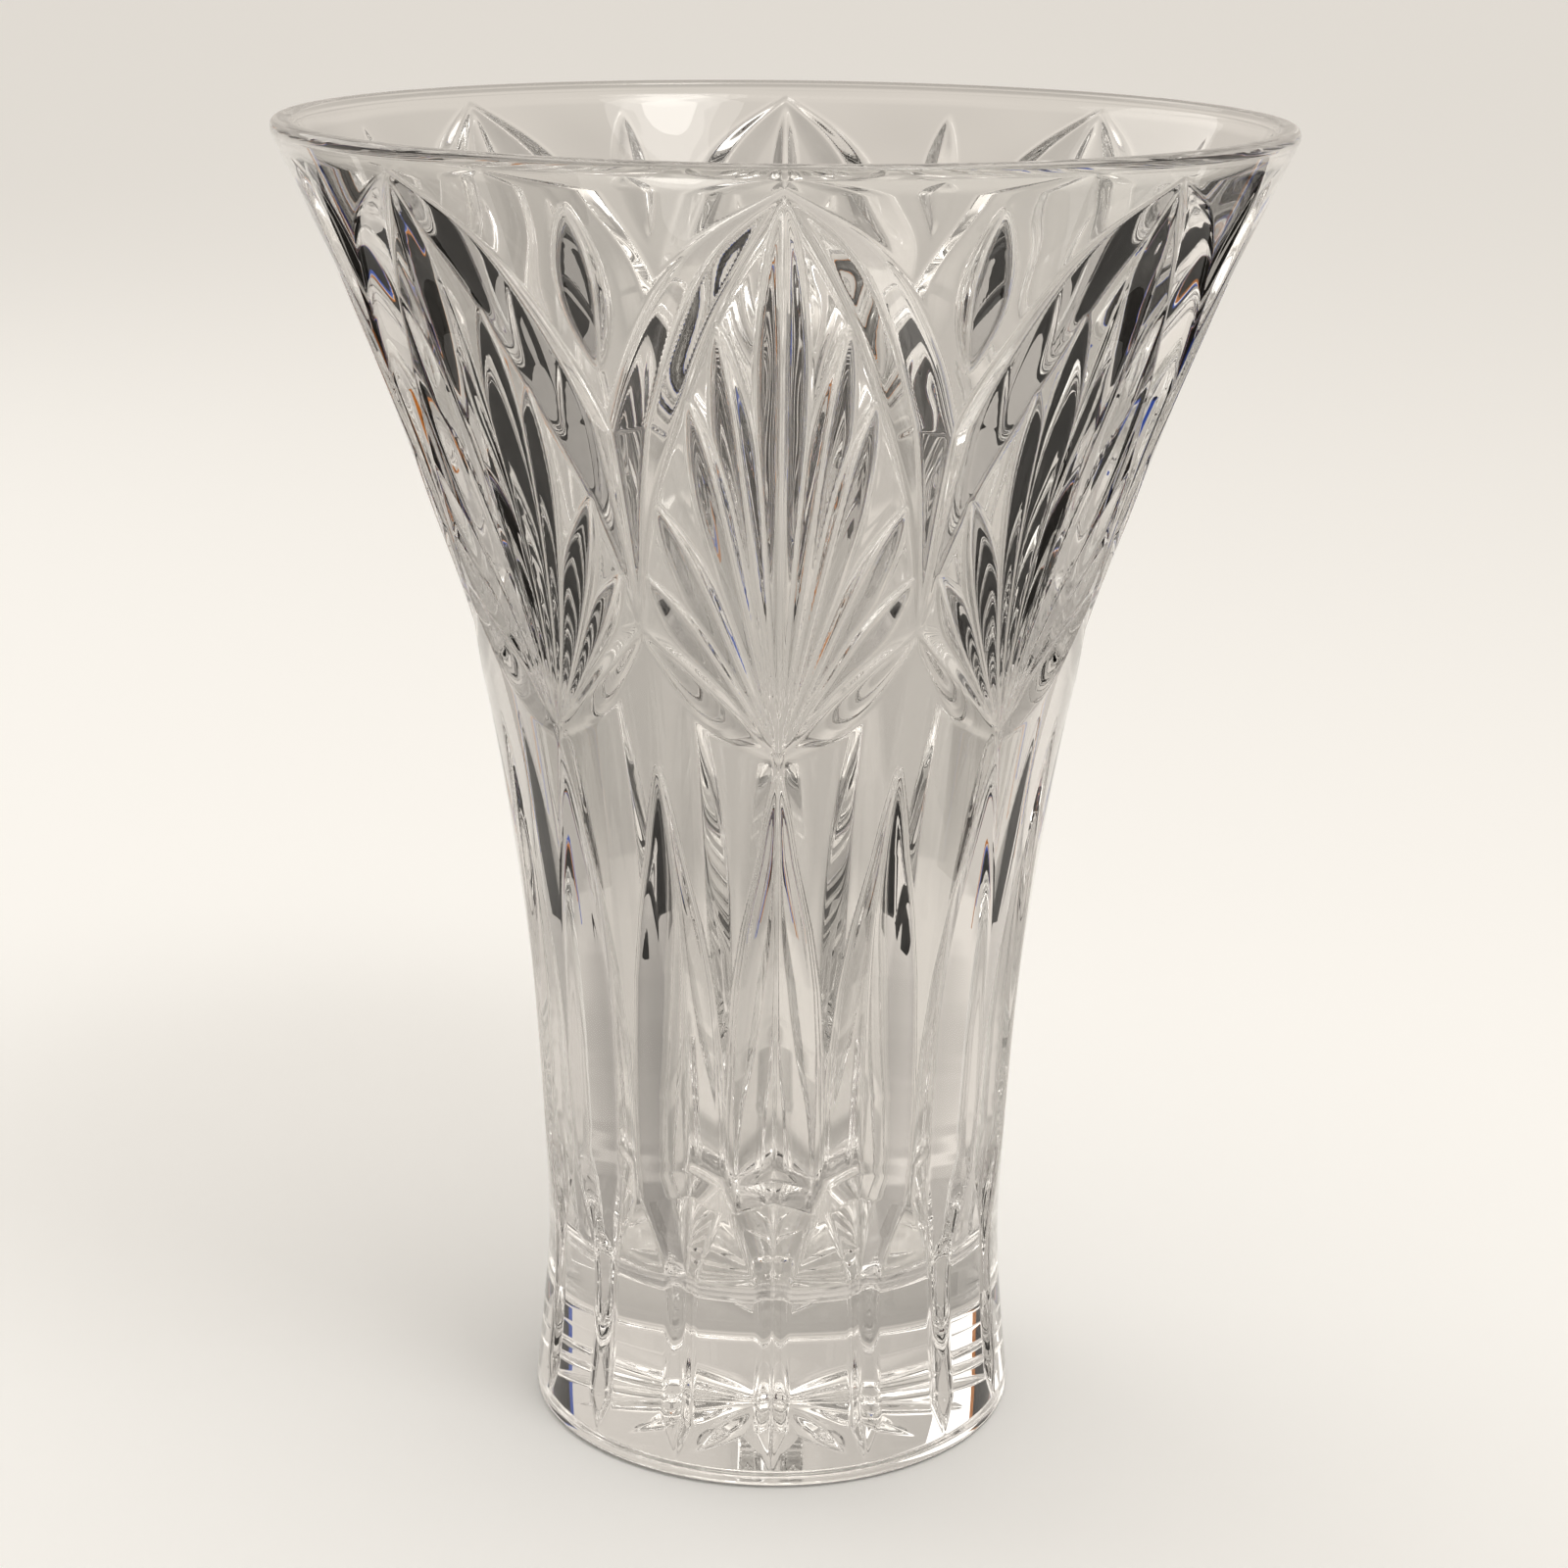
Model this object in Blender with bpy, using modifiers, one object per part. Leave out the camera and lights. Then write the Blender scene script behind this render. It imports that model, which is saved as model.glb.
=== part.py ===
"""Cut crystal vase: one piece of thick clear glass with a mitre-cut pattern.

Metres, +Z up. The origin is the centre of the ring that the vase stands on.
The pattern repeats on eight panels round the wall. Each panel is a pointed arch
with a fan of blades in it, two cup cuts under the fan, and an olive between it
and the next arch. Sixteen long flutes run down to the foot, and a star is cut
underneath. Every cut is a V groove, lofted through stations on the turned wall.
"""

import math

import bmesh
import bpy
from mathutils import Vector

# Driving dimensions
HEIGHT = 0.229
RIM_WALL = 0.0038
FLOOR_HEIGHT = 0.030
FLOOR_CORNER = 0.007
FOOT_EDGE = 0.0012
RECESS_RADIUS = 0.0380
RECESS_DEPTH = 0.0008

# Turned outlines, each (height, radius)
OUTER = (
    (0.000, 0.0436),
    (0.014, 0.0422),
    (0.030, 0.0410),
    (0.055, 0.0419),
    (0.082, 0.0436),
    (0.110, 0.0470),
    (0.137, 0.0517),
    (0.174, 0.0625),
    (0.206, 0.0747),
    (0.229, 0.0850),
)
INNER = (
    (0.030, 0.0346),
    (0.055, 0.0352),
    (0.082, 0.0372),
    (0.110, 0.0410),
    (0.137, 0.0460),
    (0.174, 0.0571),
    (0.206, 0.0699),
    (0.229, 0.0812),
)
TURN_STEPS = 48
OUTER_STEPS = 14
INNER_STEPS = 7

# The pattern's repeats
PANELS = 8
PANEL_ANGLE = 360 / PANELS
FLUTES = 2 * PANELS
STAR_POINTS = 16

# A cut's shape: how deep it is for its half width, and how its ends leave the glass
BLADE_STEEPNESS = 0.75
ARCH_STEEPNESS = 0.42
OLIVE_STEEPNESS = 0.60
CUP_STEEPNESS = 0.50
STAR_STEEPNESS = 0.55
CLEARANCE = 0.0006
TIP_RISE = 0.00015

# Fan: its foot on the panel's middle line, and (angle, height) where blades end
FAN_FOOT = 0.1335
FAN_START = 0.1380
CENTRE_BLADE_TOP = 0.2215
CENTRE_BLADE_DEPTH = 0.0019
BLADE_TIPS = ((7.6, 0.2035), (11.8, 0.1915), (16.9, 0.1765), (20.0, 0.1630))
BLADE_DEPTH = 0.0016
BLADE_FULLEST = 0.6

# Right half of an arch band and of a cup cut: (angle, height, depth)
ARCH_BAND = (
    (0.6, 0.2246, -TIP_RISE),
    (4.7, 0.2187, 0.0011),
    (8.9, 0.2116, 0.0018),
    (14.3, 0.1988, 0.0021),
    (17.6, 0.1894, 0.0020),
    (19.5, 0.1800, 0.0014),
    (20.8, 0.1695, 0.0008),
    (21.9, 0.1580, -TIP_RISE),
)
CUP = (
    (21.9, 0.1536, -TIP_RISE),
    (17.5, 0.1489, 0.0012),
    (12.5, 0.1438, 0.0015),
    (7.5, 0.1390, 0.0011),
    (1.4, 0.1342, -TIP_RISE),
)

# Olive between two arches
OLIVE_BOTTOM = 0.1983
OLIVE_TOP = 0.2217
OLIVE_DEPTH = 0.0020

# Flute: (height, half angle, steepness), narrow again where it meets the foot
FLUTE_TIP = 0.1294
FLUTE_END = 0.0080
FLUTE = (
    (0.1145, 3.0, 0.45),
    (0.1030, 5.7, 0.32),
    (0.0916, 8.7, 0.22),
    (0.0756, 11.4, 0.17),
    (0.0570, 11.4, 0.17),
    (0.0500, 10.0, 0.20),
    (0.0378, 2.3, 0.60),
    (0.0115, 2.3, 0.60),
)

# Star under the foot
STAR_INNER = 0.0060
STAR_OUTER = 0.0360
STAR_DEPTH = 0.0018


def smooth_outline(points):
    """The radius at any height, on a smooth curve through the outline's points."""
    heights = [height for height, _ in points]
    radii = [radius for _, radius in points]
    chords = [
        (radii[i + 1] - radii[i]) / (heights[i + 1] - heights[i])
        for i in range(len(points) - 1)
    ]
    middles = [(before + after) / 2 for before, after in zip(chords, chords[1:])]
    slopes = [chords[0], *middles, chords[-1]]

    def radius_at(height):
        i = sum(1 for start in heights[1:-1] if start <= height)
        step = heights[i + 1] - heights[i]
        t = (height - heights[i]) / step
        return (
            radii[i] * (1 + 2 * t) * (1 - t) ** 2
            + radii[i + 1] * (3 - 2 * t) * t**2
            + slopes[i] * step * t * (1 - t) ** 2
            - slopes[i + 1] * step * (1 - t) * t**2
        )

    return radius_at


outer_radius = smooth_outline(OUTER)
inner_radius = smooth_outline(INNER)


def wall_point(angle, height):
    """The point of the uncut outer wall at an angle in degrees, 0 facing -Y."""
    radius = outer_radius(height)
    turn = math.radians(angle)
    return Vector((radius * math.sin(turn), -radius * math.cos(turn), height))


def wall_normal(angle, height):
    """The outward normal of the uncut outer wall."""
    step = 0.0005
    slope = (outer_radius(height + step) - outer_radius(height - step)) / (2 * step)
    turn = math.radians(angle)
    return Vector((math.sin(turn), -math.cos(turn), -slope)).normalized()


def new_collection(name):
    made = bpy.data.collections.new(name)
    bpy.context.scene.collection.children.link(made)
    return made


def new_object(name, mesh, collection):
    made = bpy.data.objects.new(name, mesh)
    collection.objects.link(made)
    return made


def crystal_material():
    made = bpy.data.materials.new("crystal")
    made.use_nodes = True
    shader = made.node_tree.nodes["Principled BSDF"]
    shader.inputs["Base Color"].default_value = (0.93, 0.92, 0.90, 1.0)
    shader.inputs["Roughness"].default_value = 0.02
    shader.inputs["Metallic"].default_value = 0.0
    shader.inputs["Transmission Weight"].default_value = 1.0
    shader.inputs["IOR"].default_value = 1.55
    return made


def arc(centre, radius, start, end, steps):
    """Points on an arc in the section's plane, its angles from +Z towards +X."""
    turns = [math.radians(start + (end - start) * i / steps) for i in range(steps + 1)]
    return [
        (centre[0] + radius * math.sin(turn), centre[1] + radius * math.cos(turn))
        for turn in turns
    ]


def wall_line(radius_at, start, end, steps):
    """Points of a turned outline between two heights, without the first."""
    heights = [start + (end - start) * (i + 1) / steps for i in range(steps)]
    return [(radius_at(height), height) for height in heights]


def turned_section():
    """Half the section: from the axis along the inside, over the rim and down the
    outside to the axis again, as (radius, height)."""
    lip = RIM_WALL / 2
    shoulder = HEIGHT - lip
    corner_top = FLOOR_HEIGHT + FLOOR_CORNER
    corner_middle = (inner_radius(corner_top) - FLOOR_CORNER, corner_top)
    rim_middle = (outer_radius(shoulder) - lip, shoulder)
    return [
        (0.0, FLOOR_HEIGHT),
        *arc(corner_middle, FLOOR_CORNER, 180, 90, 3),
        *wall_line(inner_radius, corner_top, shoulder, INNER_STEPS),
        *arc(rim_middle, lip, -50, 50, 2),
        (outer_radius(shoulder), shoulder),
        *wall_line(outer_radius, shoulder, FOOT_EDGE, OUTER_STEPS),
        (outer_radius(0) - FOOT_EDGE, 0.0),
        (RECESS_RADIUS, 0.0),
        (RECESS_RADIUS - RECESS_DEPTH, RECESS_DEPTH),
        (0.0, RECESS_DEPTH),
    ]


def turned_body(collection):
    """The blank: the section turned round the axis."""
    section = turned_section()
    mesh = bpy.data.meshes.new("vase_body")
    edges = [(i, i + 1) for i in range(len(section) - 1)]
    mesh.from_pydata([(radius, 0.0, height) for radius, height in section], edges, [])
    body = new_object("vase_body", mesh, collection)
    screw = body.modifiers.new("turn", "SCREW")
    screw.steps = TURN_STEPS
    screw.render_steps = TURN_STEPS
    screw.use_merge_vertices = True
    screw.merge_threshold = 0.00001
    screw.use_smooth_shade = True
    return body


def loft_cutter(name, sections, collection):
    """A closed wedge through triangular sections of three corners each."""
    shape = bmesh.new()
    rows = [[shape.verts.new(corner) for corner in section] for section in sections]
    for row, after in zip(rows, rows[1:]):
        for i in range(3):
            j = (i + 1) % 3
            shape.faces.new((row[i], row[j], after[j], after[i]))
    shape.faces.new(rows[0][::-1])
    shape.faces.new(rows[-1])
    bmesh.ops.recalc_face_normals(shape, faces=shape.faces)
    mesh = bpy.data.meshes.new(name)
    shape.to_mesh(mesh)
    shape.free()
    cutter = new_object(name, mesh, collection)
    cutter.hide_render = True
    cutter.display_type = "WIRE"


def wall_cutter(name, stations, collection):
    """A V groove in the wall through stations of (angle, height, depth, steepness)."""
    middles = [wall_point(angle, height) for angle, height, _, _ in stations]
    sections = []
    for i, (angle, height, depth, steepness) in enumerate(stations):
        normal = wall_normal(angle, height)
        along = middles[min(i + 1, len(middles) - 1)] - middles[max(i - 1, 0)]
        across = along.cross(normal).normalized()
        reach = across * (depth + CLEARANCE) / steepness
        top = middles[i] + normal * CLEARANCE
        sections.append((middles[i] - normal * depth, top - reach, top + reach))
    loft_cutter(name, sections, collection)


def lens_stations(start, end, depth, steepness, steps, fullest=0.5):
    """Stations from start to end, deepest at the fullest share of the way."""
    stations = []
    for i in range(steps + 1):
        t = i / steps
        swell = t / fullest if t < fullest else (1 - t) / (1 - fullest)
        angle = start[0] + (end[0] - start[0]) * t
        height = start[1] + (end[1] - start[1]) * t
        rise = TIP_RISE * (1 - swell)
        stations.append(
            (angle, height, depth * math.sin(swell * math.pi / 2) - rise, steepness)
        )
    return stations


def mirrored(points, middle, side, steepness):
    """Stations of a right-half cut, set on its panel and turned to the given side."""
    return [
        (middle + side * angle, height, depth, steepness)
        for angle, height, depth in points
    ]


def fan_cutters(panel, collection):
    """The centre blade and the leaning pairs, which all point at the fan's foot."""
    middle = panel * PANEL_ANGLE
    stations = lens_stations(
        (middle, FAN_START),
        (middle, CENTRE_BLADE_TOP),
        CENTRE_BLADE_DEPTH,
        BLADE_STEEPNESS,
        steps=5,
        fullest=BLADE_FULLEST,
    )
    wall_cutter(f"blade_{panel}_middle", stations, collection)
    for side, word in ((-1, "left"), (1, "right")):
        for i, (angle, height) in enumerate(BLADE_TIPS):
            lean = (FAN_START - FAN_FOOT) / (height - FAN_FOOT)
            stations = lens_stations(
                (middle + side * angle * lean, FAN_START),
                (middle + side * angle, height),
                BLADE_DEPTH,
                BLADE_STEEPNESS,
                steps=4,
                fullest=BLADE_FULLEST,
            )
            wall_cutter(f"blade_{panel}_{word}_{i}", stations, collection)


def panel_edge_cutters(panel, collection):
    """The arch bands and cup cuts that frame a panel, and the olive beside it."""
    middle = panel * PANEL_ANGLE
    for side, word in ((-1, "left"), (1, "right")):
        band = mirrored(ARCH_BAND, middle, side, ARCH_STEEPNESS)
        wall_cutter(f"arch_{panel}_{word}", band, collection)
        cup = mirrored(CUP, middle, side, CUP_STEEPNESS)
        wall_cutter(f"cup_{panel}_{word}", cup, collection)
    between = middle + PANEL_ANGLE / 2
    olive = lens_stations(
        (between, OLIVE_BOTTOM),
        (between, OLIVE_TOP),
        OLIVE_DEPTH,
        OLIVE_STEEPNESS,
        steps=5,
    )
    wall_cutter(f"olive_{panel}", olive, collection)


def flute_cutter(number, collection):
    """A long flute. Its depth takes in the wall's curve across its width."""
    angle = number * 360 / FLUTES
    stations = [(angle, FLUTE_TIP, -TIP_RISE, FLUTE[0][2])]
    for height, half_angle, steepness in FLUTE:
        radius = outer_radius(height)
        half_turn = math.radians(half_angle)
        depth = radius * (1 - math.cos(half_turn) + steepness * math.sin(half_turn))
        stations.append((angle, height, depth, steepness))
    stations.append((angle, FLUTE_END, -TIP_RISE, FLUTE[-1][2]))
    wall_cutter(f"flute_{number}", stations, collection)


def star_cutter(number, collection):
    """One ray of the star: a V groove up into the underside."""
    turn = math.radians((number + 0.5) * 360 / STAR_POINTS)
    outward = Vector((math.sin(turn), -math.cos(turn), 0))
    across = Vector((math.cos(turn), math.sin(turn), 0))
    steps = 4
    sections = []
    for i in range(steps + 1):
        t = i / steps
        swell = math.sin(t * math.pi)
        depth = STAR_DEPTH * swell - TIP_RISE * (1 - swell)
        middle = outward * (STAR_INNER + (STAR_OUTER - STAR_INNER) * t)
        reach = across * (depth + CLEARANCE) / STAR_STEEPNESS
        low = middle + Vector((0, 0, RECESS_DEPTH - CLEARANCE))
        apex = middle + Vector((0, 0, RECESS_DEPTH + depth))
        sections.append((apex, low - reach, low + reach))
    loft_cutter(f"star_{number}", sections, collection)


def cut(body, collection):
    modifier = body.modifiers.new(collection.name, "BOOLEAN")
    modifier.operation = "DIFFERENCE"
    modifier.operand_type = "COLLECTION"
    modifier.collection = collection
    modifier.solver = "EXACT"


def main():
    for thing in list(bpy.data.objects):
        bpy.data.objects.remove(thing, do_unlink=True)
    body = turned_body(new_collection("cut_crystal_vase"))
    body.data.materials.append(crystal_material())

    flutes = new_collection("flute_cutters")
    star = new_collection("star_cutters")
    fans = new_collection("fan_cutters")
    edges = new_collection("panel_edge_cutters")
    for number in range(FLUTES):
        flute_cutter(number, flutes)
    for number in range(STAR_POINTS):
        star_cutter(number, star)
    for panel in range(PANELS):
        fan_cutters(panel, fans)
        panel_edge_cutters(panel, edges)
    for collection in (flutes, star, fans, edges):
        cut(body, collection)


main()
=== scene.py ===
"""Looks for the cut crystal vase: fine cut surface, crystal, studio and camera."""

import math

import bpy
import numpy as np
from mathutils import Matrix, Vector


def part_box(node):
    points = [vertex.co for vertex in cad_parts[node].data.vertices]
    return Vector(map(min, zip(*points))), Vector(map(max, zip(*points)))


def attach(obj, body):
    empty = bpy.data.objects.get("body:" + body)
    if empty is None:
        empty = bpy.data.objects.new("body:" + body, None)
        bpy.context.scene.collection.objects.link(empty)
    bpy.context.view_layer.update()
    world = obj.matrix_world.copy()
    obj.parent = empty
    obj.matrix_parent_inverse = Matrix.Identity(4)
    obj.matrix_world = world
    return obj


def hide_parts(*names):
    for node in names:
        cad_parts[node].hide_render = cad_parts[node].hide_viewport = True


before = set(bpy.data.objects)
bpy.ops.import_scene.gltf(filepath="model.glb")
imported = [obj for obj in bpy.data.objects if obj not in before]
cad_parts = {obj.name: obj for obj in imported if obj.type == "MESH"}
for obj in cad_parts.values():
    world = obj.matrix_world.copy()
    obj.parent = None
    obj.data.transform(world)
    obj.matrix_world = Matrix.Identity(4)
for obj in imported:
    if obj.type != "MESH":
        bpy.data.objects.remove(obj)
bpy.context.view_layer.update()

BODY_LOW, BODY_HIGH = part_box("vase_body")
HEIGHT = BODY_HIGH.z - BODY_LOW.z
RIM_HEIGHT = 229
MM = HEIGHT / RIM_HEIGHT

# Turned outlines in mm, each (height, radius), from the foot to RIM_HEIGHT
OUTER = (
    (0.0, 43.6),
    (14.0, 42.2),
    (30.0, 41.0),
    (55.0, 41.9),
    (82.0, 43.6),
    (110.0, 47.0),
    (137.0, 51.7),
    (174.0, 62.5),
    (206.0, 74.7),
    (229.0, 85.0),
)
INNER = (
    (30.0, 34.6),
    (55.0, 35.2),
    (82.0, 37.2),
    (110.0, 41.0),
    (137.0, 46.0),
    (174.0, 57.1),
    (206.0, 69.9),
    (229.0, 81.2),
)
RIM_WALL = 3.8
LIP_SQUARENESS = 0.6
FLOOR_HEIGHT = 30.0
FLOOR_CORNER = 7.0
FOOT_EDGE = 1.2
RECESS_RADIUS = 38.0
RECESS_DEPTH = 0.8
# Where the flat ring ends and the recess rises, measured outwards from the recess's radius
FOOT_RING_EDGE = 0.6
RECESS_RISE_START = 0.4
RECESS_RISE_END = -1.0

# Mesh fineness
PANELS = 8
COLUMNS = 144
OUTER_ROWS = 600
INNER_ROWS = 90
BASE_ROWS = 90
FLOOR_RINGS = 12
CORNER_ROWS = 16
LIP_ROWS = 24
FOOT_EDGE_ROWS = 6
RECESS_ROWS = 8


def smooth_max(a, b, blend):
    """The larger of two fields, rounded where they cross."""
    near = np.maximum(blend - np.abs(a - b), 0) / blend
    return np.maximum(a, b) + near * near * blend / 4


def smooth_min(a, b, blend):
    return -smooth_max(-a, -b, blend)


def rounded_abs(x, radius):
    return np.sqrt(x * x + radius * radius) - radius


def spline(points):
    """A natural cubic spline through (x, y) points, straight beyond its ends."""
    x = np.array([p[0] for p in points], float)
    y = np.array([p[1] for p in points], float)
    order = np.argsort(x)
    x, y = x[order], y[order]
    n = len(x)
    h = np.diff(x)
    system = np.eye(n)
    right = np.zeros(n)
    for i in range(1, n - 1):
        system[i, i - 1 : i + 2] = h[i - 1], 2 * (h[i - 1] + h[i]), h[i]
        right[i] = 6 * ((y[i + 1] - y[i]) / h[i] - (y[i] - y[i - 1]) / h[i - 1])
    bend = np.linalg.solve(system, right)
    low_slope = (y[1] - y[0]) / h[0] - h[0] * bend[1] / 6
    high_slope = (y[-1] - y[-2]) / h[-1] + h[-1] * bend[-2] / 6

    def value(at):
        at = np.asarray(at, float)
        i = np.clip(np.searchsorted(x, at) - 1, 0, n - 2)
        t = np.clip(at, x[0], x[-1])
        left, ahead = t - x[i], x[i + 1] - t
        inside = (
            (bend[i] * ahead**3 + bend[i + 1] * left**3) / (6 * h[i])
            + (y[i] / h[i] - bend[i] * h[i] / 6) * ahead
            + (y[i + 1] / h[i] - bend[i + 1] * h[i] / 6) * left
        )
        beyond = np.minimum(at - x[0], 0) * low_slope + np.maximum(at - x[-1], 0) * high_slope
        return inside + beyond

    return value


outer_radius = spline(OUTER)
inner_radius = spline(INNER)


def slope_of(curve, at, step=0.25):
    return (curve(at + step) - curve(at - step)) / (2 * step)


# Running length along the outer wall, so that cuts can be laid out as if it were unrolled
LEVELS = np.linspace(0, RIM_HEIGHT, 10 * RIM_HEIGHT + 1)
LENGTHS = np.concatenate(
    [[0], np.cumsum(np.hypot(np.diff(LEVELS), np.diff(outer_radius(LEVELS))))]
)


def wall_length(height):
    return np.interp(height, LEVELS, LENGTHS)


# The pattern in one half panel: angle in degrees from the panel's middle, height in mm
FAN_FOOT = 133.5
BLADE_TIPS = (
    # angle, height, half width, share of the length where it is widest, slope of its facets
    (0.0, 223.2, 2.9, 0.70, 1.30),
    (7.4, 204.3, 2.65, 0.70, 1.20),
    (11.4, 192.4, 2.5, 0.68, 1.20),
    (17.4, 175.6, 2.4, 0.64, 1.15),
    (20.3, 163.3, 2.3, 0.62, 1.10),
)
BLADE_TAPER = 1.5
CENTRE_ROUND = 0.8  # how widely the middle blade's valley is rounded, mm
VALLEY_ROUND = 0.35  # and every other valley
HALF_PANEL = 22.5

# The arch's two edges in half a panel: height and angle
ARCH_INNER = (
    (224.0, 0.0), (205.2, 7.9), (192.8, 12.1), (177.0, 17.4), (163.7, 20.6), (154.3, 22.5),
)
ARCH_OUTER = (
    (225.1, 0.0), (220.6, 5.6), (215.3, 10.6), (208.6, 14.4), (196.7, 19.3), (188.5, 22.0),
)
ARCH_SLOPE = 0.75
ARCH_BLEND = 0.6

# The cup cut's two edges: angle and height
CUP_UPPER = ((0.0, 133.6), (8.6, 145.4), (16.0, 151.6), (22.5, 154.6))
CUP_LOWER = ((0.0, 133.0), (6.0, 135.6), (12.0, 139.0), (17.5, 145.4), (22.5, 153.6))
CUP_SLOPE = 0.50
CUP_BLEND = 0.5

OLIVE_MIDDLE = 210.0
OLIVE_HALF_LENGTH = 12.9
OLIVE_HALF_WIDTH = 3.2
OLIVE_SLOPE = 1.0

# Flute half angle and facet slope by height
FLUTE_TOP = 129.8
FLUTE_FOOT = 5.0
FLUTE_HALF = (
    (FLUTE_TOP, 0.0), (122.0, 1.7), (114.5, 3.1), (103.0, 6.0), (91.6, 8.1), (80.0, 9.3),
    (68.7, 10.0), (57.0, 10.2), (50.0, 9.4), (44.0, 6.4), (38.0, 3.6), (32.0, 2.9),
    (10.0, 2.9), (FLUTE_FOOT, 0.0),
)
FLUTE_SLOPE = (
    (130.0, 1.15), (114.5, 1.00), (91.6, 0.70), (70.0, 0.50), (55.0, 0.46),
    (38.0, 0.9), (10.0, 0.9),
)
FLUTE_SPACING = 22.5
FLUTE_RUN_OUT = 0.3  # how fast the cut leaves the glass beyond its ends, mm per mm

EDGE_BLEND = 0.7  # how widely the ridges between cuts are rounded, mm


def blade_cut(angle, height, tip):
    """One blade of the fan, straight on the unrolled wall."""
    tip_angle, tip_height, half_width, widest, slope = tip
    x = outer_radius(height) * np.radians(angle)
    y = wall_length(height) - wall_length(FAN_FOOT)
    tip_x = float(outer_radius(tip_height)) * math.radians(tip_angle)
    tip_y = float(wall_length(tip_height) - wall_length(FAN_FOOT))
    length = math.hypot(tip_x, tip_y)
    along = (x * tip_x + y * tip_y) / length / length
    across = (x * tip_y - y * tip_x) / length
    below = np.maximum(1 - along / widest, 0) ** BLADE_TAPER
    beyond = (np.maximum(along - widest, 0) / (1 - widest)) ** 2
    valley = CENTRE_ROUND if tip_angle == 0 else VALLEY_ROUND
    return slope * (half_width * (1 - below - beyond) - rounded_abs(across, valley))


def arch_cut(angle, height):
    """The band between the arch's two edges."""
    inner, outer = spline(ARCH_INNER), spline(ARCH_OUTER)

    def middle(z):
        return (inner(z) + np.minimum(outer(z), HALF_PANEL)) / 2

    inside = inner(height)
    outside = np.minimum(outer(height), HALF_PANEL)
    radius = outer_radius(height)
    run = np.hypot(1, slope_of(outer_radius, height))
    lean = radius * np.radians(slope_of(middle, height)) / run
    across = ARCH_SLOPE * radius * math.pi / 180 / np.hypot(1, lean)
    return smooth_min((angle - inside) * across, (outside - angle) * across, ARCH_BLEND)


def cup_cut(angle, height):
    """The crescent under the fan."""
    upper, lower = spline(CUP_UPPER), spline(CUP_LOWER)

    def middle(a):
        return (upper(a) + lower(a)) / 2

    top, bottom = upper(angle), lower(angle)
    run = np.hypot(1, slope_of(outer_radius, height))
    lean = slope_of(middle, angle) * 180 / math.pi * run / outer_radius(height)
    across = CUP_SLOPE * run / np.hypot(1, lean)
    return smooth_min((top - height) * across, (height - bottom) * across, CUP_BLEND)


def olive_cut(angle, height):
    """The pointed oval between two arches."""
    x = outer_radius(height) * np.radians(angle - HALF_PANEL)
    y = (wall_length(height) - wall_length(OLIVE_MIDDLE)) / OLIVE_HALF_LENGTH
    return OLIVE_SLOPE * (OLIVE_HALF_WIDTH * (1 - y * y) - rounded_abs(x, VALLEY_ROUND))


def flute_cut(angle, height):
    """The long spikes that widen into columns and narrow again over the foot."""
    half = np.interp(height, *zip(*sorted(FLUTE_HALF)))
    slope = np.interp(height, *zip(*sorted(FLUTE_SLOPE)))
    half = np.radians(half)
    offset = (angle + FLUTE_SPACING / 2) % FLUTE_SPACING - FLUTE_SPACING / 2
    turn = np.radians(offset)
    radius = outer_radius(height)
    level = np.cos(half) - slope * np.sin(half)
    side = rounded_abs(np.sin(turn), VALLEY_ROUND / radius)
    depth = radius * (1 - level / (np.cos(turn) - slope * side))
    beyond = np.maximum(height - FLUTE_TOP, 0) + np.maximum(FLUTE_FOOT - height, 0)
    return depth - beyond * FLUTE_RUN_OUT


def wall_cuts(angle, height):
    """How deep the wall is cut, in mm. Angle is 0 to 22.5 degrees from a panel's middle."""
    depth = np.zeros(np.broadcast(angle, height).shape)
    cuts = [blade_cut(angle, height, tip) for tip in BLADE_TIPS]
    cuts += [cut(angle, height) for cut in (arch_cut, cup_cut, olive_cut, flute_cut)]
    for cut in cuts:
        depth = smooth_max(depth, cut, EDGE_BLEND)
    return depth


# The star underneath
STAR_POINTS = 16
STAR_INNER = 2.0
STAR_OUTER = 28.0
STAR_HALF_WIDTH = 2.3
STAR_SLOPE = 0.46
STAR_ROUND = 0.3


def star_cuts(angle, radius):
    spacing = 360 / STAR_POINTS
    offset = (angle + spacing / 2) % spacing - spacing / 2
    across = radius * np.sin(np.radians(offset))
    middle = (STAR_INNER + STAR_OUTER) / 2
    reach = (radius - middle) / ((STAR_OUTER - STAR_INNER) / 2)
    cut = STAR_SLOPE * (STAR_HALF_WIDTH * (1 - reach**2) - rounded_abs(across, STAR_ROUND))
    return smooth_max(np.zeros_like(cut), cut, EDGE_BLEND)


# Slow unevenness of the blown inner wall, in mm: (depth, waves round, waves up per mm, phase)
WAVES = ((0.10, 9, 0.030, 0.7), (0.08, -14, 0.021, 2.3), (0.04, 23, -0.048, 4.1))
WAVES_FROM = 150
WAVES_GROW = 60  # they reach their full depth this far above that
WAVES_END = 12  # they fade out this far under the rim


def inner_waves(angles, height):
    fade = min(1, (RIM_HEIGHT - height) / WAVES_END, (height - WAVES_FROM) / WAVES_GROW)
    turn = np.radians(angles)
    total = sum(
        depth * np.sin(round_waves * turn + 2 * math.pi * up * height + phase)
        for depth, round_waves, up, phase in WAVES
    )
    return total * max(fade, 0)


def ring_angles():
    count = PANELS * COLUMNS
    return np.arange(count) * 360 / count


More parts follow.
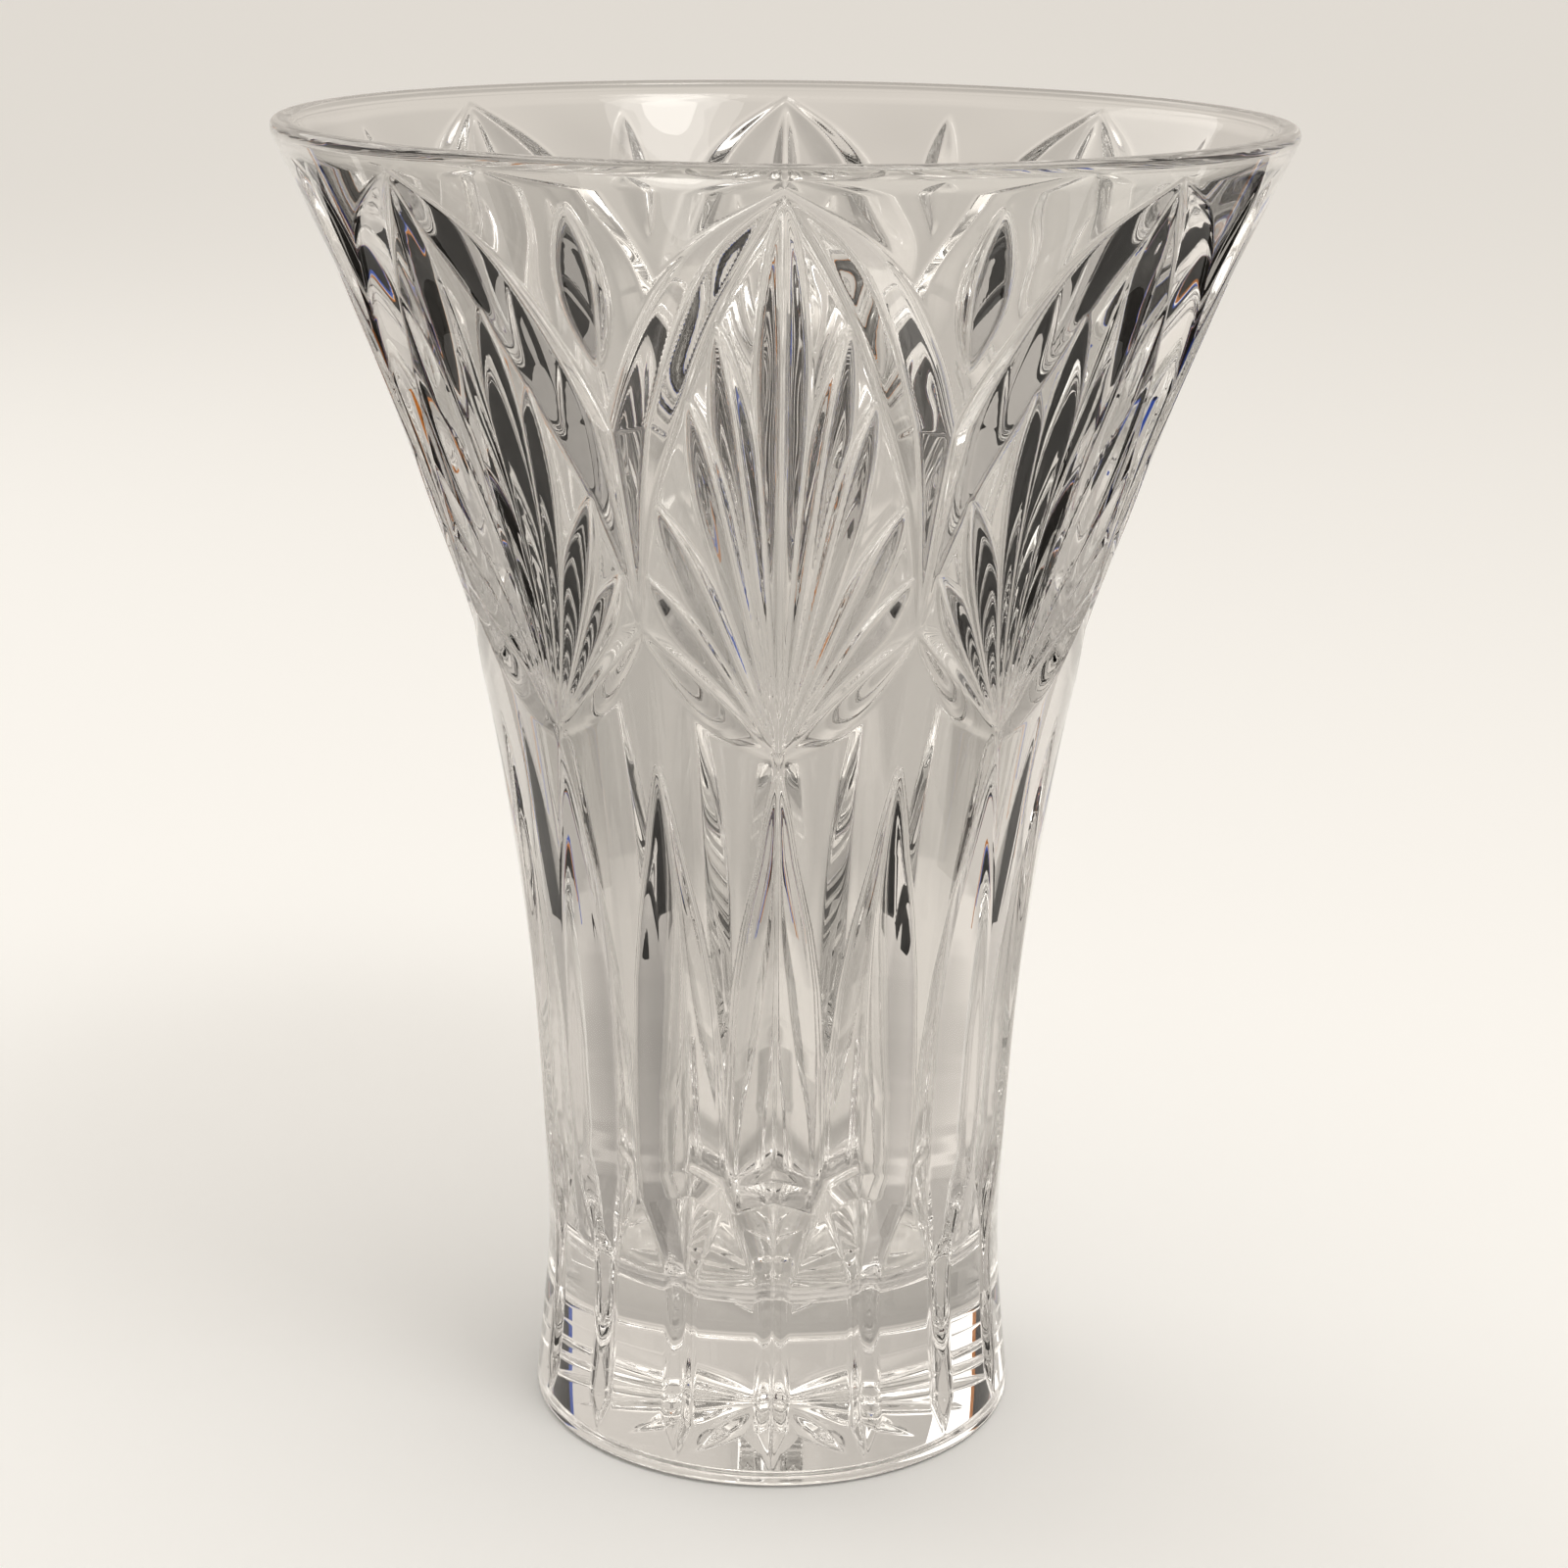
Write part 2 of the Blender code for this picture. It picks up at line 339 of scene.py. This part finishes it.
def body_rows():
    """Every ring of the vase from the inside floor, over the rim, to the foot's middle.
    Each is (radii, heights) over the ring's angles, in mm."""
    angles = ring_angles()
    ones = np.ones_like(angles)
    rows = []

    lip = RIM_WALL / 2
    shoulder = RIM_HEIGHT - lip
    corner_top = FLOOR_HEIGHT + FLOOR_CORNER
    corner_middle = float(inner_radius(corner_top)) - FLOOR_CORNER
    for i in range(1, FLOOR_RINGS + 1):
        rows.append((ones * corner_middle * i / FLOOR_RINGS, ones * FLOOR_HEIGHT))
    for i in range(1, CORNER_ROWS + 1):
        turn = math.pi / 2 * i / CORNER_ROWS
        rows.append(
            (
                ones * (corner_middle + FLOOR_CORNER * math.sin(turn)),
                ones * (corner_top - FLOOR_CORNER * math.cos(turn)),
            )
        )
    for i in range(1, INNER_ROWS + 1):
        height = corner_top + (shoulder - corner_top) * i / INNER_ROWS
        rows.append((inner_radius(height) + inner_waves(angles, height), ones * height))
    rim_middle = float(outer_radius(shoulder)) - lip
    for i in range(1, LIP_ROWS):
        turn = -math.pi / 2 + math.pi * i / LIP_ROWS
        side = math.copysign(abs(math.sin(turn)) ** LIP_SQUARENESS, turn)
        rise = math.cos(turn) ** LIP_SQUARENESS
        rows.append((ones * (rim_middle + lip * side), ones * (shoulder + lip * rise)))

    folded = np.abs((angles + HALF_PANEL) % (2 * HALF_PANEL) - HALF_PANEL)
    top, bottom = float(wall_length(shoulder)), float(wall_length(FOOT_EDGE))
    lengths = np.linspace(top, bottom, OUTER_ROWS)
    heights = np.interp(lengths, LENGTHS, LEVELS)
    depth = wall_cuts(folded[None, :], heights[:, None])
    tilt = np.arctan(slope_of(outer_radius, heights))
    for i, height in enumerate(heights):
        radii = outer_radius(height) - depth[i] * math.cos(tilt[i])
        rows.append((radii, height + depth[i] * math.sin(tilt[i])))

    foot = float(outer_radius(FOOT_EDGE))
    for i in range(1, FOOT_EDGE_ROWS + 1):
        turn = math.pi / 2 * i / FOOT_EDGE_ROWS
        rows.append(
            (
                ones * (foot - FOOT_EDGE + FOOT_EDGE * math.cos(turn)),
                ones * (FOOT_EDGE - FOOT_EDGE * math.sin(turn)),
            )
        )
    rows.append((ones * (RECESS_RADIUS + FOOT_RING_EDGE), ones * 0.0))
    for i in range(1, RECESS_ROWS + 1):
        t = i / RECESS_ROWS
        rise = RECESS_DEPTH * t * t * (3 - 2 * t)
        inward = (RECESS_RISE_START - RECESS_RISE_END) * t
        rows.append((ones * (RECESS_RADIUS + RECESS_RISE_START - inward), ones * rise))
    start = RECESS_RADIUS + RECESS_RISE_END
    for i in range(1, BASE_ROWS):
        radius = start * (1 - i / BASE_ROWS)
        rows.append((ones * radius, RECESS_DEPTH + star_cuts(angles, radius * ones)))
    return rows


def vase_mesh():
    """The rows joined into one closed mesh, in metres."""
    angles = np.radians(ring_angles())
    rows = body_rows()
    radii = np.array([r for r, _ in rows])
    heights = np.array([h for _, h in rows])
    rings, count = radii.shape
    points = np.stack([radii * np.sin(angles), -radii * np.cos(angles), heights], -1)
    inside_middle = (0, 0, FLOOR_HEIGHT)
    under_middle = (0, 0, float(heights[-1].mean()))
    points = np.concatenate([points.reshape(-1, 3), [inside_middle, under_middle]]) * MM
    ring = np.arange(count)
    after = (ring + 1) % count
    first = (np.arange(rings - 1) * count)[:, None]
    below = first + count
    quads = np.stack([first + ring, below + ring, below + after, first + after], -1)
    quads = quads.reshape(-1, 4)
    inside_fan = np.stack([np.full(count, rings * count), ring, after], -1)
    last = (rings - 1) * count
    under_fan = np.stack([np.full(count, rings * count + 1), last + after, last + ring], -1)
    corners = np.concatenate([quads.ravel(), inside_fan.ravel(), under_fan.ravel()])
    sizes = np.concatenate([np.full(len(quads), 4), np.full(2 * count, 3)])
    mesh = bpy.data.meshes.new("crystal_vase")
    mesh.vertices.add(len(points))
    mesh.vertices.foreach_set("co", points.astype(np.float32).ravel())
    mesh.loops.add(len(corners))
    mesh.loops.foreach_set("vertex_index", corners.astype(np.int32))
    mesh.polygons.add(len(sizes))
    mesh.polygons.foreach_set("loop_start", (np.cumsum(sizes) - sizes).astype(np.int32))
    mesh.update(calc_edges=True)
    mesh.validate()
    mesh.shade_smooth()
    return mesh


# The crystal: clear, with a breath of grey-green in it that drifts, ridges a little worn
CRYSTAL_INDEX = 1.56
CLEAR_TINTS = ((0.990, 0.988, 0.982), (0.965, 0.968, 0.960))
TINT_SCALE = 14
TINT_EDGES = (0.35, 0.65)
POLISH_SCALE = 90
POLISH_EDGES = (0.45, 0.75)
POLISH_ROUGHNESS = (0.0, 0.012)
RIDGE_POINTINESS = (0.53, 0.62)
RIDGE_ROUGHNESS = 0.06


def crystal():
    made = bpy.data.materials.new("crystal")
    made.use_nodes = True
    nodes, links = made.node_tree.nodes, made.node_tree.links
    shader = nodes["Principled BSDF"]
    shader.inputs["IOR"].default_value = CRYSTAL_INDEX
    shader.inputs["Transmission Weight"].default_value = 1.0

    place = nodes.new("ShaderNodeTexCoord").outputs["Object"]

    def noise(scale, detail):
        node = nodes.new("ShaderNodeTexNoise")
        node.inputs["Scale"].default_value = scale
        node.inputs["Detail"].default_value = detail
        links.new(place, node.inputs["Vector"])
        return node.outputs["Fac"]

    def spread(value, source, target):
        node = nodes.new("ShaderNodeMapRange")
        names = ("From Min", "From Max", "To Min", "To Max")
        for name, number in zip(names, (*source, *target)):
            node.inputs[name].default_value = number
        links.new(value, node.inputs["Value"])
        return node.outputs["Result"]

    drift = nodes.new("ShaderNodeValToRGB")
    for element, position, colour in zip(drift.color_ramp.elements, TINT_EDGES, CLEAR_TINTS):
        element.position = position
        element.color = (*colour, 1)
    links.new(noise(TINT_SCALE, 2), drift.inputs["Fac"])
    links.new(drift.outputs["Color"], shader.inputs["Base Color"])

    polish = spread(noise(POLISH_SCALE, 4), POLISH_EDGES, POLISH_ROUGHNESS)
    pointiness = nodes.new("ShaderNodeNewGeometry").outputs["Pointiness"]
    ridges = spread(pointiness, RIDGE_POINTINESS, (0, RIDGE_ROUGHNESS))
    rough = nodes.new("ShaderNodeMath")
    rough.operation = "ADD"
    links.new(polish, rough.inputs[0])
    links.new(ridges, rough.inputs[1])
    links.new(rough.outputs[0], shader.inputs["Roughness"])
    return made


def add_vase():
    vase = bpy.data.objects.new("crystal_vase", vase_mesh())
    bpy.context.scene.collection.objects.link(vase)
    vase.data.materials.append(crystal())
    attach(vase, "root")
    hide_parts("vase_body")


FLOOR_COLOUR = (0.92, 0.94, 0.95)
FLOOR_REACH = 14.5
FLOOR_SIDES = 96
FLOOR_DROP = 0.0002
BACKDROP_HEIGHT = 4.0
BACKDROP_GLOW = (0.640, 0.606, 0.559)  # as bright as the floor in front of it looks


def paint(name, colour, roughness):
    made = bpy.data.materials.new(name)
    made.use_nodes = True
    shader = made.node_tree.nodes["Principled BSDF"]
    shader.inputs["Base Color"].default_value = (*colour, 1)
    shader.inputs["Roughness"].default_value = roughness
    shader.inputs["Specular IOR Level"].default_value = 0.2
    return made


def add_floor():
    """A round pale floor, and a wall far off all round it that only the camera sees."""
    count = FLOOR_SIDES
    turns = [2 * math.pi * i / count for i in range(count)]
    edge = [(math.cos(turn), math.sin(turn)) for turn in turns]
    low = [(FLOOR_REACH * x, FLOOR_REACH * y, 0) for x, y in edge]
    high = [(FLOOR_REACH * x, FLOOR_REACH * y, BACKDROP_HEIGHT) for x, y in edge]
    mesh = bpy.data.meshes.new("floor")
    mesh.from_pydata(low, [], [tuple(range(count))])
    floor = bpy.data.objects.new("floor", mesh)
    bpy.context.scene.collection.objects.link(floor)
    mesh.materials.append(paint("floor_paint", FLOOR_COLOUR, 0.8))
    floor.location.z = -FLOOR_DROP
    floor.visible_transmission = False

    wall_mesh = bpy.data.meshes.new("backdrop")
    ends = [(i, (i + 1) % count) for i in range(count)]
    sides = [(here, after, count + after, count + here) for here, after in ends]
    wall_mesh.from_pydata(low + high, [], sides)
    wall = bpy.data.objects.new("backdrop", wall_mesh)
    bpy.context.scene.collection.objects.link(wall)
    glow = paint("backdrop_glow", (0, 0, 0), 1.0)
    shader = glow.node_tree.nodes["Principled BSDF"]
    shader.inputs["Emission Color"].default_value = (*BACKDROP_GLOW, 1)
    shader.inputs["Emission Strength"].default_value = 1.0
    wall_mesh.materials.append(glow)
    for seen in ("visible_diffuse", "visible_glossy", "visible_transmission", "visible_shadow"):
        setattr(wall, seen, False)


# Dark cards stand round the vase for the facets to pick up, with gaps between them. Each card is a
# row of posts: azimuths of its foot and top, distance, and heights of foot and top, in metres.
# Azimuth 0 is along +Y and 90 along +X.
CARDS = (
    ((-45, -49, 0.22, 0.090, 0.15), (-63, -63, 0.21, 0.040, 0.16)),
    (
        (-65.5, -65.5, 0.21, 0.065, 0.18),
        (-78, -78, 0.20, 0.060, 0.17),
        (-81, -81, 0.20, 0.010, 0.17),
    ),
    ((45, 49, 0.22, 0.090, 0.16), (63, 63, 0.21, 0.040, 0.17)),
    ((65.5, 65.5, 0.21, 0.065, 0.20), (81, 81, 0.20, 0.060, 0.20), (85, 85, 0.20, 0.010, 0.20)),
    ((87, 87, 0.20, 0.010, 0.20), (114, 114, 0.20, 0.014, 0.20)),
    ((157, 157, 0.24, 0.02, 0.05), (203, 203, 0.24, 0.02, 0.05)),
    ((-134, -134, 0.24, 0.02, 0.24), (-112, -112, 0.24, 0.02, 0.24)),
)
CARD_COLOUR = (0.006, 0.005, 0.004)
# Narrow coloured cards along the dark ones' edges, for the hints of colour that crystal shows there
BLUE_CARDS = (
    ((43, 47, 0.22, 0.090, 0.16), (45, 49, 0.22, 0.090, 0.16)),
    ((-65.5, -65.5, 0.21, 0.022, 0.18), (-64.5, -64.5, 0.21, 0.022, 0.18)),
    ((63, 63, 0.21, 0.03, 0.20), (64, 64, 0.21, 0.03, 0.20)),
)
WARM_CARDS = (
    ((-45, -49, 0.22, 0.090, 0.15), (-43, -47, 0.22, 0.090, 0.15)),
    ((-63, -63, 0.21, 0.03, 0.18), (-64, -64, 0.21, 0.03, 0.18)),
    ((65.5, 65.5, 0.21, 0.022, 0.20), (64.5, 64.5, 0.21, 0.022, 0.20)),
)
BLUE_COLOUR = (0.05, 0.12, 0.55)
WARM_COLOUR = (0.60, 0.22, 0.04)
# Where a level view looks along -X there are thin slats, which only slanting views find dark
SLATS = 160
SLAT_AZIMUTHS = (-83, -110)
SLAT_REACH = (0.200, 0.203)
SLAT_HEIGHTS = (0.010, 0.17)
STRIP_STEPS = 6  # faces along each strip


def add_screen(name, cards, slats, colour):
    """Upright cards and level slats, unseen by the camera and casting no shade on the floor."""
    points, faces = [], []

    def add_strip(start, end):
        """A strip between two pairs of points, each point (azimuth, reach, height)."""
        for step in range(STRIP_STEPS + 1):
            for first, last in zip(start, end):
                azimuth, reach, height = (
                    a + (b - a) * step / STRIP_STEPS for a, b in zip(first, last)
                )
                turn = math.radians(azimuth)
                points.append((reach * math.sin(turn), reach * math.cos(turn), height))
            if step:
                newest = len(points) - 1
                faces.append((newest - 3, newest - 1, newest, newest - 2))

    for posts in cards:
        pairs = [
            ((foot_at, reach, foot), (top_at, reach, top))
            for foot_at, top_at, reach, foot, top in posts
        ]
        for start, end in zip(pairs, pairs[1:]):
            add_strip(start, end)
    for height in slats:
        start, end = (
            [(azimuth, reach, height) for reach in SLAT_REACH] for azimuth in SLAT_AZIMUTHS
        )
        add_strip(start, end)
    mesh = bpy.data.meshes.new(name)
    mesh.from_pydata(points, [], faces)
    screen = bpy.data.objects.new(name, mesh)
    bpy.context.scene.collection.objects.link(screen)
    mesh.materials.append(paint(name + "_paint", colour, 1.0))
    screen.visible_camera = False
    screen.visible_diffuse = False
    screen.visible_shadow = False


# The surround's brightness by the height of the direction, -1 straight down and 1 straight up
SURROUND = (
    (-1.0, 0.50), (-0.92, 0.46), (-0.80, 0.31), (-0.55, 0.285), (-0.45, 0.365), (-0.40, 0.45),
    (-0.36, 0.45), (-0.33, 0.345), (-0.17, 0.365), (-0.08, 0.465), (0.0, 0.465), (0.12, 0.39),
    (0.50, 0.40), (0.76, 0.50), (0.88, 1.15), (1.0, 1.15),
)
SURROUND_MOST = 1.45  # what the ramp's colours are shares of
WINDOW_SIDE = (0.25, 0.32, 0)  # it is brighter towards this
BOTH_SIDES = 0.25  # and this much brighter at either side than in front
SURROUND_TINT = (1.0, 0.93, 0.85)


def add_world():
    world = bpy.data.worlds.new("studio")
    bpy.context.scene.world = world
    world.use_nodes = True
    nodes, links = world.node_tree.nodes, world.node_tree.links
    background = nodes["Background"]
    direction = nodes.new("ShaderNodeTexCoord")
    split = nodes.new("ShaderNodeSeparateXYZ")
    links.new(direction.outputs["Generated"], split.inputs[0])
    level = nodes.new("ShaderNodeMath")
    level.operation = "MULTIPLY_ADD"
    level.inputs[1].default_value = 0.5
    level.inputs[2].default_value = 0.5
    links.new(split.outputs["Z"], level.inputs[0])
    ramp = nodes.new("ShaderNodeValToRGB")
    while len(ramp.color_ramp.elements) < len(SURROUND):
        ramp.color_ramp.elements.new(0.5)
    for element, (z, grey) in zip(ramp.color_ramp.elements, SURROUND):
        element.position = 0.5 + z / 2
        element.color = (*(grey / SURROUND_MOST * share for share in SURROUND_TINT), 1)
    links.new(level.outputs[0], ramp.inputs["Fac"])
    links.new(ramp.outputs["Color"], background.inputs["Color"])
    lean = nodes.new("ShaderNodeVectorMath")
    lean.operation = "DOT_PRODUCT"
    lean.inputs[1].default_value = WINDOW_SIDE
    links.new(direction.outputs["Generated"], lean.inputs[0])
    sides = nodes.new("ShaderNodeMath")
    sides.operation = "MULTIPLY"
    links.new(split.outputs["X"], sides.inputs[0])
    links.new(split.outputs["X"], sides.inputs[1])
    total = nodes.new("ShaderNodeMath")
    total.operation = "MULTIPLY_ADD"
    total.inputs[1].default_value = BOTH_SIDES
    links.new(sides.outputs[0], total.inputs[0])
    links.new(lean.outputs["Value"], total.inputs[2])
    strength = nodes.new("ShaderNodeMath")
    strength.operation = "MULTIPLY_ADD"
    strength.inputs[1].default_value = SURROUND_MOST
    strength.inputs[2].default_value = SURROUND_MOST
    links.new(total.outputs[0], strength.inputs[0])
    links.new(strength.outputs[0], background.inputs["Strength"])


LIGHT_COLOUR = (1, 0.97, 0.93)
KEY_PLACE = (0.42, -0.5, 1.15)
KEY_SIZES = (("key", 0.30), ("key_wide", 0.45), ("key_widest", 0.60))  # one soft-edged key
KEY_POWER = 1
FILL_PLACE = (-0.9, 0.6, 0.9)
FILL_SIZE = 1.0
FILL_POWER = 2


def add_light(name, place, size, power):
    data = bpy.data.lights.new(name, "AREA")
    data.shape = "DISK"
    data.size = size
    data.energy = power
    data.color = LIGHT_COLOUR
    light = bpy.data.objects.new(name, data)
    bpy.context.scene.collection.objects.link(light)
    light.location = place
    light.rotation_mode = "QUATERNION"
    aim = Vector((0, 0, HEIGHT / 2)) - Vector(place)
    light.rotation_quaternion = aim.to_track_quat("-Z", "Y")


# The photograph's view: distance and height are in vase heights, angles in degrees
CAMERA_LENS = 71.47
CAMERA_SHIFT = 0.0037
CAMERA_BACK = 2.28525
CAMERA_UP = 1.1836
CAMERA_DOWN = 16.7135
CAMERA_ROLL = 0.6342


def add_camera():
    data = bpy.data.cameras.new("camera")
    data.sensor_width = 36
    data.lens = CAMERA_LENS
    data.shift_x = CAMERA_SHIFT
    data.clip_start = 0.01
    data.clip_end = 100
    camera = bpy.data.objects.new("camera", data)
    bpy.context.scene.collection.objects.link(camera)
    camera.matrix_world = (
        Matrix.Translation((0, -CAMERA_BACK * HEIGHT, CAMERA_UP * HEIGHT))
        @ Matrix.Rotation(math.radians(90 - CAMERA_DOWN), 4, "X")
        @ Matrix.Rotation(math.radians(CAMERA_ROLL), 4, "Z")
    )
    bpy.context.scene.camera = camera


add_vase()
add_floor()
add_screen("dark_cards", CARDS, np.linspace(*SLAT_HEIGHTS, SLATS), CARD_COLOUR)
add_screen("blue_cards", BLUE_CARDS, (), BLUE_COLOUR)
add_screen("warm_cards", WARM_CARDS, (), WARM_COLOUR)
add_world()
for name, size in KEY_SIZES:
    add_light(name, KEY_PLACE, size, KEY_POWER)
add_light("fill", FILL_PLACE, FILL_SIZE, FILL_POWER)
add_camera()
bpy.context.scene.view_settings.view_transform = "Standard"
bpy.context.scene.view_settings.look = "Medium High Contrast"
# Light that a facet sends round inside the glass needs many reflections before it leaves
bpy.context.scene.cycles.max_bounces = 24
bpy.context.scene.cycles.glossy_bounces = 20
bpy.context.scene.cycles.transmission_bounces = 24
